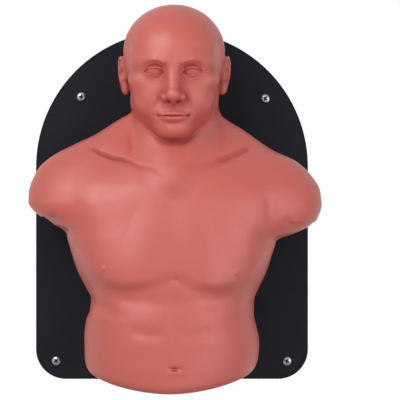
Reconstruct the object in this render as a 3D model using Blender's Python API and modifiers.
"""Wall-mounted boxing dummy: a foam-filled head and torso bolted to a covered wall board.

Metres, +Z up, X to the viewer's right, +Y into the wall, so the figure faces -Y.
The origin is the middle of the board's back face, which lies on the wall.
"""

from collections import namedtuple
from math import cos, pi, radians, sin

import bmesh
import bpy
from mathutils import Matrix, Vector

# Board and cover
BOARD_WIDTH = 0.4974
BOARD_HEIGHT = 0.6374
BOARD_THICK = 0.018
BOARD_CORNER = 0.0535
COVER_THICK = 0.001
HEM_WIDTH = 0.026
REBATE_DEPTH = 0.0016
ARCH_STEPS = 32
CORNER_STEPS = 5
GAP = 0.0003
OVERCUT = 0.010
MERGE_DISTANCE = 0.00001
SMOOTH_DEGREES = 35

BOARD_LEFT = -BOARD_WIDTH / 2
BOARD_BOTTOM = -BOARD_HEIGHT / 2
ARCH_CENTRE = BOARD_HEIGHT / 2 - BOARD_WIDTH / 2
COVER_FRONT = -BOARD_THICK - GAP - COVER_THICK
BACK_PLANE = COVER_FRONT - GAP

# Figure: skin, foam and the levels that its rings are placed by
SKIN_THICK = 0.007
OVERRUN = 0.012
FIGURE_BOTTOM = -0.3280
CHEST_FRONT = -0.242
SIDE_Y = -0.100
TRUNK_MIDDLE = 0.006
BOTTOM_MIDDLE = -0.001
SHOULDER_DROP = 0.026
DROP_FADE = (FIGURE_BOTTOM, -0.20)
DROP_END = (0.10, 0.20)
FRONT_STEPS = 8
BACK_STEPS = 3
CHEST_MUSCLE = Vector((0.104, -0.106))
CHEST_MUSCLE_REACH = 0.095
CHEST_MUSCLE_RISE = 0.014

# Form of the rings: 2 is an ellipse and more is squarer. A tilted ring's level falls off towards
# its front by LEVEL_POWER.
TRUNK_SQUARE = 2.5
BOTTOM_SQUARE = 2.4
HEAD_SQUARE = 2.1
LEVEL_POWER = 2.6

# Head: measured in its own frame, bowed towards the viewer about its centre
HEAD_CENTRE = Vector((0.0058, -0.135, 0.241))
HEAD_BOW = 8.0
HEAD_TOP = 0.1160

# Plate and its fixings
PLATE_WIDTH = 0.210
PLATE_HEIGHT = 0.340
PLATE_THICK = 0.012
PLATE_CORNER = 0.020
PLATE_CENTRE = -0.095
BOLT_X = 0.075
BOLT_PITCH = 0.130
BOLT_RADIUS = 0.004
BOLT_LENGTH = 0.030
BOLT_HEAD_FLATS = 0.013
BOLT_HEAD_HIGH = 0.0053
BOLT_HOLE = 0.0045
BOLT_CHAMFER = 0.0008
SHANK_ROOT = 0.002
COUNTERBORE_RADIUS = 0.0135
COUNTERBORE_DEPTH = 0.0085
WASHER_RADIUS = 0.012
WASHER_THICK = 0.002
TEE_FLANGE_RADIUS = 0.011
TEE_FLANGE_THICK = 0.0015
TEE_BARREL_RADIUS = 0.005
TEE_BARREL_LONG = 0.009
TEE_RECESS_DEPTH = 0.008
FASTENER_STEPS = 12

# Wall screws, each placed and turned as it was driven
WALL_SCREWS = {
    "top_left": (-0.1665, 0.1985, 12),
    "top_right": (0.1715, 0.1950, 38),
    "bottom_left": (-0.2125, -0.2865, 52),
    "bottom_right": (0.2115, -0.2870, 25),
}
SCREW_HEAD_RADIUS = 0.0085
SCREW_HEAD_HIGH = 0.0042
SCREW_HEAD_RIM = 0.0007
SCREW_DOME_DEGREES = (25, 48, 70)
SCREW_STEPS = 20
SCREW_RADIUS = 0.003
SCREW_LENGTH = 0.060
SCREW_POINT = 0.009
SCREW_HOLE = 0.0034
RECESS_REACH = 0.0048
RECESS_WIDTH = 0.0017
RECESS_DEPTH = 0.0026

# A ring runs round the figure. Its side, front and back points may lie at different heights.
# half is the half width at side_y, flat is the half width where it meets the board.
Ring = namedtuple("Ring", "side_z front_z back_z half side_y front_y flat back_y middle square")


def board_ring(z, half, front_y, flat, middle=0.0, square=TRUNK_SQUARE, front_z=None, back_z=None):
    """A ring of the part that lies on the board, open at its back."""
    front_z = z if front_z is None else front_z
    back_z = z if back_z is None else back_z
    return Ring(z, front_z, back_z, half, SIDE_Y, front_y, flat, BACK_PLANE, middle, square)


def bottom_ring(front_z, rise, half, front_y, flat):
    """A ring of the rounded bottom, whose sides lie higher than its front."""
    side_z = front_z + rise
    return board_ring(side_z, half, front_y, flat, BOTTOM_MIDDLE, BOTTOM_SQUARE, front_z=front_z)


def neck_ring(levels, half, side_y, front_y, back_y, square):
    """A closed ring of the neck, with its (side, front, back) levels."""
    return Ring(*levels, half, side_y, front_y, 0.0, back_y, TRUNK_MIDDLE, square)


def head_ring(levels, half, front_y, back_y, square=HEAD_SQUARE):
    """A closed ring in the head's own frame, with its (side, front, back) levels."""
    return Ring(*levels, half, 0.0, front_y, 0.0, back_y, 0.0, square)


BODY_RINGS = (
    bottom_ring(FIGURE_BOTTOM, 0.0245, 0.130, -0.2310, 0.120),
    bottom_ring(-0.3255, 0.0300, 0.1465, -0.2410, 0.137),
    bottom_ring(-0.3040, 0.0240, 0.1560, -0.2455, 0.145),
    bottom_ring(-0.2740, 0.012, 0.1585, -0.2475, 0.147),
    board_ring(-0.235, 0.1590, -0.2465, 0.148),
    board_ring(-0.208, 0.1540, -0.2420, 0.141, 0.000, 2.7),
    board_ring(-0.182, 0.1440, -0.2340, 0.134, 0.002, 2.4),
    board_ring(-0.145, 0.156, -0.2340, 0.143, 0.002, 2.4),
    board_ring(-0.118, 0.1700, -0.2365, 0.152, 0.001),
    board_ring(-0.085, 0.1830, -0.2395, 0.163, 0.001),
    board_ring(-0.064, 0.1890, -0.2410, 0.168, 0.001),
    board_ring(-0.049, 0.1960, -0.2420, 0.174, 0.003),
    board_ring(-0.037, 0.230, -0.2420, 0.190, 0.006, 2.1),
    board_ring(-0.016, 0.262, -0.2390, 0.206, 0.007, 2.2),
    board_ring(0.018, 0.269, -0.2345, 0.206, 0.008, 2.3, front_z=0.016),
    board_ring(0.056, 0.255, -0.2220, 0.190, 0.0075, 2.4, front_z=0.044, back_z=0.050),
    board_ring(0.085, 0.224, -0.2115, 0.150, 0.007, 2.2, front_z=0.060, back_z=0.075),
    board_ring(0.108, 0.178, -0.2045, 0.100, 0.006, 1.9, front_z=0.071, back_z=0.094),
    board_ring(0.126, 0.143, -0.1980, 0.000, 0.006, 1.6, front_z=0.080, back_z=0.108),
)
NECK_RINGS = (
    neck_ring((0.143, 0.089, 0.126), 0.113, -0.108, -0.1900, -0.037, 1.6),
    neck_ring((0.158, 0.099, 0.148), 0.088, -0.120, -0.1770, -0.041, 1.9),
)
HEAD_RINGS = (
    head_ring((-0.074, -0.1150, -0.060), 0.075, -0.068, 0.091),
    head_ring((-0.063, -0.1170, -0.045), 0.078, -0.093, 0.091),
    head_ring((-0.048, -0.1010, -0.030), 0.081, -0.1010, 0.094),
    head_ring((-0.030, -0.0700, -0.015), 0.083, -0.1010, 0.098, 2.4),
    head_ring((-0.010, -0.0430, 0.000), 0.0860, -0.1000, 0.101, 2.4),
    head_ring((0.010, -0.0060, 0.012), 0.0900, -0.0985, 0.102),
    head_ring((0.030, 0.0220, 0.030), 0.0915, -0.1040, 0.1015),
    head_ring((0.057, 0.0550, 0.055), 0.0880, -0.1010, 0.094),
    head_ring((0.084, 0.0850, 0.082), 0.0730, -0.0820, 0.075),
    head_ring((0.104, 0.1050, 0.103), 0.0480, -0.0520, 0.048),
)
CAP_SHARE = 0.55

# Ears and nose in the head's frame, in metres, with turns in degrees
EAR_CENTRE = Vector((0.0895, 0.006, -0.012))
EAR_HALF = Vector((0.0070, 0.0175, 0.0320))
EAR_PITCH = 8.0
EAR_FLARE = 20.0
EAR_STEPS = (12, 8)
NOSE_BACK = -0.0950
NOSE_STEPS = 6
NOSE_SECTIONS = (  # level, half width, front, from the root down to the base
    (0.018, 0.0070, -0.1030),
    (0.000, 0.0090, -0.1080),
    (-0.022, 0.0125, -0.1165),
    (-0.040, 0.0180, -0.1240),
    (-0.049, 0.0185, -0.1205),
    (-0.054, 0.0120, -0.1060),
)

SCREW_AXIS_TURN = Matrix.Rotation(radians(90), 4, "X")


def clear_scene():
    for item in list(bpy.data.objects):
        bpy.data.objects.remove(item, do_unlink=True)


def make_collection(name):
    collection = bpy.data.collections.new(name)
    bpy.context.scene.collection.children.link(collection)
    return collection


def make_material(name, colour, roughness, metallic=0.0):
    material = bpy.data.materials.new(name)
    material.use_nodes = True
    shader = material.node_tree.nodes["Principled BSDF"]
    shader.inputs["Base Color"].default_value = (*colour, 1.0)
    shader.inputs["Roughness"].default_value = roughness
    shader.inputs["Metallic"].default_value = metallic
    return material


def add_object(name, data, collection, material=None):
    item = bpy.data.objects.new(name, data)
    collection.objects.link(item)
    if material:
        data.materials.append(material)
    return item


def shade_round(mesh):
    mesh.shade_smooth()
    mesh.set_sharp_from_angle(angle=radians(SMOOTH_DEGREES))


def mesh_from(shape, name):
    """A mesh of a finished bmesh, with its faces turned outwards."""
    bmesh.ops.remove_doubles(shape, verts=shape.verts, dist=MERGE_DISTANCE)
    bmesh.ops.recalc_face_normals(shape, faces=shape.faces)
    mesh = bpy.data.meshes.new(name)
    shape.to_mesh(mesh)
    shape.free()
    return mesh


def hide_cutter(item):
    item.hide_render = True
    item.display_type = "WIRE"


def use_cutter(item, cutter, operation="DIFFERENCE"):
    cut = item.modifiers.new(cutter.name, "BOOLEAN")
    cut.operation = operation
    cut.object = cutter


def add_cylinder_cutter(name, radius, near_y, far_y, x, z, collection):
    """A round cutter along Y between two depths."""
    shape = bmesh.new()
    length = abs(far_y - near_y)
    bmesh.ops.create_cone(
        shape, cap_ends=True, segments=FASTENER_STEPS, radius1=radius, radius2=radius,
        depth=length, matrix=SCREW_AXIS_TURN,
    )
    cutter = add_object(name, mesh_from(shape, name), collection)
    cutter.location = (x, (near_y + far_y) / 2, z)
    hide_cutter(cutter)
    return cutter


def add_box_cutter(name, low, high, collection):
    shape = bmesh.new()
    size = Vector(high) - Vector(low)
    bmesh.ops.create_cube(shape, size=1.0, matrix=Matrix.Diagonal((*size, 1.0)))
    cutter = add_object(name, mesh_from(shape, name), collection)
    cutter.location = (Vector(low) + Vector(high)) / 2
    hide_cutter(cutter)
    return cutter


def bolt_places():
    return [
        (side * BOLT_X, PLATE_CENTRE + row * BOLT_PITCH)
        for row in (1, 0, -1)
        for side in (-1, 1)
    ]


def arc(centre_x, centre_z, radius, start, end, steps):
    """Points on an arc, with both of its ends, angles in degrees."""
    turns = [radians(start + (end - start) * step / steps) for step in range(steps + 1)]
    return [(centre_x + radius * cos(turn), centre_z + radius * sin(turn)) for turn in turns]


def board_outline(grow):
    """The board's outline moved outwards by grow: a round arch over two rounded corners."""
    right = -BOARD_LEFT - BOARD_CORNER
    low = BOARD_BOTTOM + BOARD_CORNER
    corner = BOARD_CORNER + grow
    outline = arc(0.0, ARCH_CENTRE, BOARD_WIDTH / 2 + grow, 0, 180, ARCH_STEPS)
    outline += arc(-right, low, corner, 180, 270, CORNER_STEPS)
    outline += arc(right, low, corner, 270, 360, CORNER_STEPS)
    return outline


def flat_solid(name, outline, near_y, far_y):
    """A mesh of the outline, in X and Z, filled between two depths."""
    curve = bpy.data.curves.new(name, "CURVE")
    curve.dimensions = "2D"
    curve.fill_mode = "BOTH"
    curve.extrude = abs(far_y - near_y) / 2
    spline = curve.splines.new("POLY")
    spline.points.add(len(outline) - 1)
    for point, (x, z) in zip(spline.points, outline):
        point.co = (x, z, 0.0, 1.0)
    spline.use_cyclic_u = True
    guide = bpy.data.objects.new(name + "_outline", curve)
    bpy.context.scene.collection.objects.link(guide)
    guide.rotation_euler = (radians(90), 0.0, 0.0)
    guide.location = (0.0, (near_y + far_y) / 2, 0.0)
    bpy.context.view_layer.update()
    graph = bpy.context.evaluated_depsgraph_get()
    mesh = bpy.data.meshes.new_from_object(guide.evaluated_get(graph))
    mesh.name = name
    place = guide.matrix_world.copy()
    bpy.data.objects.remove(guide, do_unlink=True)
    shape = bmesh.new()
    shape.from_mesh(mesh)
    bmesh.ops.remove_doubles(shape, verts=shape.verts, dist=MERGE_DISTANCE)
    shape.to_mesh(mesh)
    shape.free()
    return mesh, place


def add_flat_piece(name, outline, near_y, far_y, collection, material=None):
    mesh, place = flat_solid(name, outline, near_y, far_y)
    piece = add_object(name, mesh, collection, material)
    piece.matrix_world = place
    return piece


def make_board(parts, cutters, material):
    """The board, with a rebate for the cover's hem and counterbores for the bolts' heads."""
    board = add_flat_piece("back_board", board_outline(0.0), -BOARD_THICK, 0.0, parts, material)
    rebate_outer = add_flat_piece(
        "rebate_outer", board_outline(OVERCUT), -REBATE_DEPTH, OVERCUT, cutters
    )
    rebate_inner = add_flat_piece(
        "rebate_inner", board_outline(-HEM_WIDTH - GAP), -REBATE_DEPTH - OVERCUT, 2 * OVERCUT,
        cutters,
    )
    use_cutter(rebate_outer, rebate_inner)
    hide_cutter(rebate_outer)
    hide_cutter(rebate_inner)
    use_cutter(board, rebate_outer)
    for number, (x, z) in enumerate(bolt_places(), 1):
        counterbore = add_cylinder_cutter(
            f"counterbore_{number}", COUNTERBORE_RADIUS, -COUNTERBORE_DEPTH, OVERCUT, x, z, cutters
        )
        use_cutter(board, counterbore)
    return board


def drill(pieces, places, radius, name, cutters):
    """The same through holes in each of the pieces."""
    near = BACK_PLANE - PLATE_THICK - OVERCUT
    for number, (x, z) in enumerate(places, 1):
        hole = add_cylinder_cutter(f"{name}_{number}", radius, near, OVERCUT, x, z, cutters)
        for piece in pieces:
            use_cutter(piece, hole)


def make_cover(parts, material):
    """Leathercloth over the front and edge, with its hem turned in behind."""
    rings = (
        (board_outline(GAP), -BOARD_THICK - GAP),
        (board_outline(GAP), -REBATE_DEPTH + GAP),
        (board_outline(-HEM_WIDTH), -REBATE_DEPTH + GAP),
    )
    shape = bmesh.new()
    rows = [[shape.verts.new((x, y, z)) for x, z in outline] for outline, y in rings]
    shape.faces.new(rows[0])
    count = len(rows[0])
    for near, far in zip(rows, rows[1:]):
        for index in range(count):
            following = (index + 1) % count
            shape.faces.new((near[index], near[following], far[following], far[index]))
    bmesh.ops.recalc_face_normals(shape, faces=shape.faces)
    mesh = bpy.data.meshes.new("board_cover")
    shape.to_mesh(mesh)
    shape.free()
    cover = add_object("board_cover", mesh, parts, material)
    wall = cover.modifiers.new("cloth", "SOLIDIFY")
    wall.thickness = COVER_THICK
    wall.offset = 1.0
    return cover


def signed_power(value, power):
    return (1 if value >= 0 else -1) * abs(value) ** power


def chest_rise(x, z):
    """How far the chest muscles stand forward at a point of the front."""
    away = (Vector((abs(x), z)) - CHEST_MUSCLE).length / CHEST_MUSCLE_REACH
    return CHEST_MUSCLE_RISE * cos(min(away, 1.0) * pi / 2) ** 2


def faded(z, start, end):
    share = min(max((z - start) / (end - start), 0.0), 1.0)
    return share * share * (3 - 2 * share)


def front_points(ring):
    """Points round the front, from the viewer's left to the right."""
    points = []
    for step in range(FRONT_STEPS + 1):
        turn = pi * step / FRONT_STEPS
        forward = sin(turn) ** (2 / ring.square)
        x = -ring.half * signed_power(cos(turn), 2 / ring.square)
        y = ring.side_y + (ring.front_y - ring.side_y) * forward
        z = ring.side_z + (ring.front_z - ring.side_z) * sin(turn) ** LEVEL_POWER
        points.append((x, y, z))
    return points


def back_points(ring, on_board):
    """Points from the right side to the back, after the side point itself."""
    points = []
    for step in range(1, BACK_STEPS + 1):
        share = step / BACK_STEPS
        inward = (1 + cos(pi * share)) / 2 if on_board else cos(share * pi / 2)
        along = share if on_board else sin(share * pi / 2)
        x = ring.flat + (ring.half - ring.flat) * inward
        y = ring.side_y + (ring.back_y - ring.side_y) * along
        z = ring.side_z + (ring.back_z - ring.side_z) * along
        points.append((x, y, z))
    last_x, last_y, last_z = points[-1]
    points.append((last_x, last_y + (OVERRUN if on_board else 0.0), last_z))
    return points


def ring_points(ring, on_board):
    """The whole ring, from the middle of the back round the front and to the back again."""
    right = back_points(ring, on_board)
    left = [(-x, y, z) for x, y, z in reversed(right)]
    return [Vector((x + ring.middle, y, z)) for x, y, z in left + front_points(ring) + right]


def shaped(point):
    """A point of the trunk with the chest muscles raised and one shoulder a little lower."""
    forward = min(max((point.y - SIDE_Y) / (CHEST_FRONT - SIDE_Y), 0.0), 1.0)
    share = faded(point.z, *DROP_FADE) * (1 - faded(point.z, *DROP_END))
    rise = chest_rise(point.x, point.z) * forward
    return Vector((point.x, point.y - rise, point.z - SHOULDER_DROP * point.x * share))


def cap_points(share):
    """A ring of the rounded bottom, drawn in towards the middle of its back edge."""
    ring = BODY_RINGS[0]
    drawn_in = ring._replace(
        half=ring.half * share,
        flat=ring.flat * share,
        side_z=ring.front_z + (ring.side_z - ring.front_z) * share,
        back_z=ring.front_z + (ring.back_z - ring.front_z) * share,
        side_y=BACK_PLANE + (ring.side_y - BACK_PLANE) * share,
        front_y=BACK_PLANE + (ring.front_y - BACK_PLANE) * share,
    )
    return ring_points(drawn_in, True)


def head_place():
    return Matrix.Translation(HEAD_CENTRE) @ Matrix.Rotation(radians(HEAD_BOW), 4, "X")


def figure_cage():
    """The coarse cage of the figure's surface, open where it lies on the board."""
    place = head_place()
    body = [cap_points(0.0), cap_points(CAP_SHARE)]
    body += [ring_points(ring, True) for ring in BODY_RINGS]
    last_board_row = len(body) - 1
    body += [ring_points(ring, False) for ring in NECK_RINGS]
    head = [ring_points(ring, False) for ring in HEAD_RINGS]
    head.append([Vector((0.0, 0.0, HEAD_TOP))] * len(head[0]))
    points = [[shaped(point) for point in row] for row in body]
    points += [[place @ point for point in row] for row in head]
    shape = bmesh.new()
    rows = [[shape.verts.new(point) for point in row] for row in points]
    for number, (low, high) in enumerate(zip(rows, rows[1:])):
        trim = 0 if number < last_board_row else 1
        for index in range(trim, len(low) - 1 - trim):
            shape.faces.new((low[index], low[index + 1], high[index + 1], high[index]))
    loose = [vert for vert in shape.verts if not vert.link_faces]
    bmesh.ops.delete(shape, geom=loose, context="VERTS")
    return mesh_from(shape, "figure_cage")


def round_surface(item):
    """Rounds the cage once and splits it into triangles."""
    soft = item.modifiers.new("soft", "SUBSURF")
    soft.levels = 1
    soft.render_levels = 1
    item.modifiers.new("facets", "TRIANGULATE")


def evaluated_mesh(item, name):
    bpy.context.view_layer.update()
    graph = bpy.context.evaluated_depsgraph_get()
    mesh = bpy.data.meshes.new_from_object(item.evaluated_get(graph))
    mesh.name = name
    return mesh


def make_skin(parts, cutters, material):
    """The vinyl skin: the figure's surface with a wall, trimmed flat where it meets the board."""
    skin = add_object("torso_skin", figure_cage(), parts, material)
    round_surface(skin)
    wall = skin.modifiers.new("wall", "SOLIDIFY")
    wall.thickness = SKIN_THICK
    wall.offset = -1.0
    low = (-BOARD_WIDTH, BACK_PLANE, -BOARD_HEIGHT)
    high = (BOARD_WIDTH, BACK_PLANE + 3 * OVERRUN, BOARD_HEIGHT)
    back = add_box_cutter("back_trim", low, high, cutters)
    use_cutter(skin, back)
    for form in (make_ear(-1, cutters), make_ear(1, cutters), make_nose(cutters)):
        use_cutter(skin, form, "UNION")
    return skin


def make_ear(side, cutters):
    """A flattened lump on the side of the head, flared out towards the back."""
    place = (
        head_place()
        @ Matrix.Translation((side * EAR_CENTRE.x, EAR_CENTRE.y, EAR_CENTRE.z))
        @ Matrix.Rotation(-side * radians(EAR_FLARE), 4, "Z")
        @ Matrix.Rotation(radians(EAR_PITCH), 4, "X")
        @ Matrix.Diagonal((*EAR_HALF, 1.0))
    )
    shape = bmesh.new()
    bmesh.ops.create_uvsphere(
        shape, u_segments=EAR_STEPS[0], v_segments=EAR_STEPS[1], radius=1.0, matrix=place
    )
    name = "ear_left" if side < 0 else "ear_right"
    form = add_object(name, mesh_from(shape, name), cutters)
    hide_cutter(form)
    return form


def make_nose(cutters):
    """A loft of half-round sections that stand on the face, narrow at the root."""
    place = head_place()
    shape = bmesh.new()
    rows = []
    for z, half, front_y in NOSE_SECTIONS:
        turns = [pi * step / NOSE_STEPS for step in range(NOSE_STEPS + 1)]
        section = [(-half * cos(turn), NOSE_BACK + (front_y - NOSE_BACK) * sin(turn), z) for turn in turns]
        rows.append([shape.verts.new(place @ Vector(point)) for point in section])
    shape.faces.new(rows[0])
    shape.faces.new(rows[-1])
    for high, low in zip(rows, rows[1:]):
        for index in range(len(high)):
            following = (index + 1) % len(high)
            shape.faces.new((high[index], high[following], low[following], low[index]))
    form = add_object("nose", mesh_from(shape, "nose"), cutters)
    hide_cutter(form)
    return form


def make_core(parts, cutters, material):
    """The foam: the same surface moved in by the skin's wall, closed and trimmed at the back."""
    guide = add_object("core_guide", figure_cage(), cutters)
    round_surface(guide)
    mesh = evaluated_mesh(guide, "foam_core")
    bpy.data.objects.remove(guide, do_unlink=True)
    shape = bmesh.new()
    shape.from_mesh(mesh)
    shape.normal_update()
    moved = [vert.co - vert.normal * (SKIN_THICK + GAP) for vert in shape.verts]
    for vert, place in zip(shape.verts, moved):
        vert.co = place
    rim = [edge for edge in shape.edges if edge.is_boundary]
    bmesh.ops.holes_fill(shape, edges=rim, sides=0)
    bmesh.ops.triangulate(shape, faces=[face for face in shape.faces if len(face.verts) > 3])
    bmesh.ops.recalc_face_normals(shape, faces=shape.faces)
    shape.to_mesh(mesh)
    shape.free()
    core = add_object("foam_core", mesh, parts, material)
    use_cutter(core, cutters.objects["back_trim"])
    pocket = add_flat_piece(
        "plate_pocket", plate_outline(GAP), BACK_PLANE - PLATE_THICK - 2 * GAP, 0.0, cutters
    )
    hide_cutter(pocket)
    use_cutter(core, pocket)
    tee_front = BACK_PLANE - PLATE_THICK - 3 * GAP - TEE_FLANGE_THICK
    for number, (x, z) in enumerate(bolt_places(), 1):
        recess = add_cylinder_cutter(
            f"tee_recess_{number}", TEE_FLANGE_RADIUS + 2 * GAP, tee_front - TEE_RECESS_DEPTH,
            BACK_PLANE, x, z, cutters,
        )
        use_cutter(core, recess)
    return core


def plate_outline(grow):
    half_width = PLATE_WIDTH / 2 - PLATE_CORNER
    half_height = PLATE_HEIGHT / 2 - PLATE_CORNER
    corners = ((1, 1, 0), (-1, 1, 90), (-1, -1, 180), (1, -1, 270))
    outline = []
    for side, end, start in corners:
        centre_x = side * half_width
        centre_z = PLATE_CENTRE + end * half_height
        outline += arc(centre_x, centre_z, PLATE_CORNER + grow, start, start + 90, CORNER_STEPS)
    return outline


def make_plate(parts, cutters, material):
    """The plywood plate, drilled for the tee nuts' barrels."""
    near = BACK_PLANE - GAP - PLATE_THICK
    plate = add_flat_piece("mounting_plate", plate_outline(0.0), near, BACK_PLANE - GAP, parts, material)
    drill([plate], bolt_places(), TEE_BARREL_RADIUS + GAP, "barrel_hole", cutters)
    return plate


def turned_mesh(name, profile, material=None, steps=FASTENER_STEPS):
    """A mesh turned about its own Y axis, from points given as a radius and a height over -Y."""
    shape = bmesh.new()
    verts = [shape.verts.new((radius, -y, 0.0)) for radius, y in profile]
    edges = [shape.edges.new(pair) for pair in zip(verts, verts[1:])]
    bmesh.ops.spin(
        shape, geom=verts + edges, cent=(0, 0, 0), axis=(0, 1, 0), angle=2 * pi, steps=steps
    )
    mesh = mesh_from(shape, name)
    shade_round(mesh)
    if material:
        mesh.materials.append(material)
    return mesh


def bolt_head_mesh(material):
    """A hexagon head whose underside is at zero."""
    shape = bmesh.new()
    across_corners = BOLT_HEAD_FLATS / cos(radians(30))
    bmesh.ops.create_cone(
        shape, cap_ends=True, segments=6, radius1=across_corners / 2, radius2=across_corners / 2,
        depth=BOLT_HEAD_HIGH,
        matrix=Matrix.Translation((0, BOLT_HEAD_HIGH / 2, 0)) @ SCREW_AXIS_TURN,
    )
    mesh = mesh_from(shape, "bolt_head")
    mesh.materials.append(material)
    return mesh


def add_bolts(parts, cutters, zinc):
    """Bolts, washers and tee nuts, one set for each of the plate's places."""
    head = bolt_head_mesh(zinc)
    shank_profile = (
        (0.0, -SHANK_ROOT),
        (BOLT_RADIUS, -SHANK_ROOT),
        (BOLT_RADIUS, BOLT_LENGTH - BOLT_CHAMFER),
        (BOLT_RADIUS - BOLT_CHAMFER, BOLT_LENGTH),
        (0.0, BOLT_LENGTH),
    )
    shank = turned_mesh("bolt_shank", shank_profile)
    washer_profile = (
        (BOLT_HOLE, 0.0),
        (WASHER_RADIUS, 0.0),
        (WASHER_RADIUS, WASHER_THICK),
        (BOLT_HOLE, WASHER_THICK),
        (BOLT_HOLE, 0.0),
    )
    washer = turned_mesh("bolt_washer", washer_profile, zinc)
    tee_profile = (
        (BOLT_HOLE, -TEE_BARREL_LONG),
        (TEE_BARREL_RADIUS, -TEE_BARREL_LONG),
        (TEE_BARREL_RADIUS, 0.0),
        (TEE_FLANGE_RADIUS, 0.0),
        (TEE_FLANGE_RADIUS, TEE_FLANGE_THICK),
        (BOLT_HOLE, TEE_FLANGE_THICK),
        (BOLT_HOLE, -TEE_BARREL_LONG),
    )
    tee = turned_mesh("tee_nut", tee_profile, zinc)
    washer_y = -COUNTERBORE_DEPTH + GAP + WASHER_THICK
    head_y = washer_y + GAP
    tee_y = BACK_PLANE - PLATE_THICK - 2 * GAP
    for number, (x, z) in enumerate(bolt_places(), 1):
        shaft = add_object(f"shaft_{number}", shank, cutters)
        shaft.location = (x, head_y, z)
        hide_cutter(shaft)
        bolt = add_object(f"plate_bolt_{number}", head, parts)
        bolt.location = (x, head_y, z)
        use_cutter(bolt, shaft, "UNION")
        ring = add_object(f"bolt_washer_{number}", washer, parts)
        ring.location = (x, washer_y, z)
        nut = add_object(f"tee_nut_{number}", tee, parts)
        nut.location = (x, tee_y, z)


def screw_profile():
    """A point, a plain shank and a domed head, from the point outwards."""
    shank_end = -SCREW_LENGTH + SCREW_POINT
    profile = [(0.0, -SCREW_LENGTH), (SCREW_RADIUS, shank_end), (SCREW_RADIUS, 0.0)]
    profile += [(SCREW_HEAD_RADIUS, 0.0), (SCREW_HEAD_RADIUS, SCREW_HEAD_RIM)]
    dome = SCREW_HEAD_HIGH - SCREW_HEAD_RIM
    for degrees in SCREW_DOME_DEGREES:
        turn = radians(degrees)
        profile.append((SCREW_HEAD_RADIUS * cos(turn), SCREW_HEAD_RIM + dome * sin(turn)))
    profile.append((0.0, SCREW_HEAD_HIGH))
    return profile


def add_wall_screws(parts, cutters, steel):
    """The four wall screws, each with a cross recess of two crossing slots."""
    mesh = turned_mesh("wall_screw", screw_profile(), steel, SCREW_STEPS)
    seat = COVER_FRONT - GAP
    floor = seat - SCREW_HEAD_HIGH + RECESS_DEPTH
    for name, (x, z, degrees) in WALL_SCREWS.items():
        screw = add_object(f"wall_screw_{name}", mesh, parts)
        screw.location = (x, seat, z)
        screw.rotation_euler = (0.0, radians(degrees), 0.0)
        for number, quarter in enumerate((0, 90), 1):
            slot = add_box_cutter(
                f"recess_{name}_{number}", (-RECESS_REACH, floor - OVERCUT, -RECESS_WIDTH / 2),
                (RECESS_REACH, floor, RECESS_WIDTH / 2), cutters,
            )
            slot.location += Vector((x, 0.0, z))
            slot.rotation_euler = (0.0, radians(degrees + quarter), 0.0)
            use_cutter(screw, slot)


def build():
    clear_scene()
    parts = make_collection("wall_mounted_boxing_dummy")
    cutters = make_collection("cutters")
    wood = make_material("board_wood", (0.42, 0.30, 0.19), 0.75)
    leathercloth = make_material("black_leathercloth", (0.021, 0.022, 0.025), 0.55)
    vinyl = make_material("terracotta_vinyl", (0.62, 0.17, 0.135), 0.45)
    foam = make_material("cream_foam", (0.74, 0.62, 0.40), 0.95)
    plywood = make_material("plate_plywood", (0.55, 0.39, 0.22), 0.7)
    steel = make_material("bright_steel", (0.72, 0.72, 0.73), 0.25, 1.0)
    zinc = make_material("zinc_plate", (0.55, 0.56, 0.58), 0.4, 1.0)
    board = make_board(parts, cutters, wood)
    cover = make_cover(parts, leathercloth)
    screw_places = [(x, z) for x, z, _ in WALL_SCREWS.values()]
    drill([board, cover], bolt_places(), BOLT_HOLE, "bolt_hole", cutters)
    drill([board, cover], screw_places, SCREW_HOLE, "screw_hole", cutters)
    make_skin(parts, cutters, vinyl)
    make_core(parts, cutters, foam)
    make_plate(parts, cutters, plywood)
    add_bolts(parts, cutters, zinc)
    add_wall_screws(parts, cutters, steel)


build()
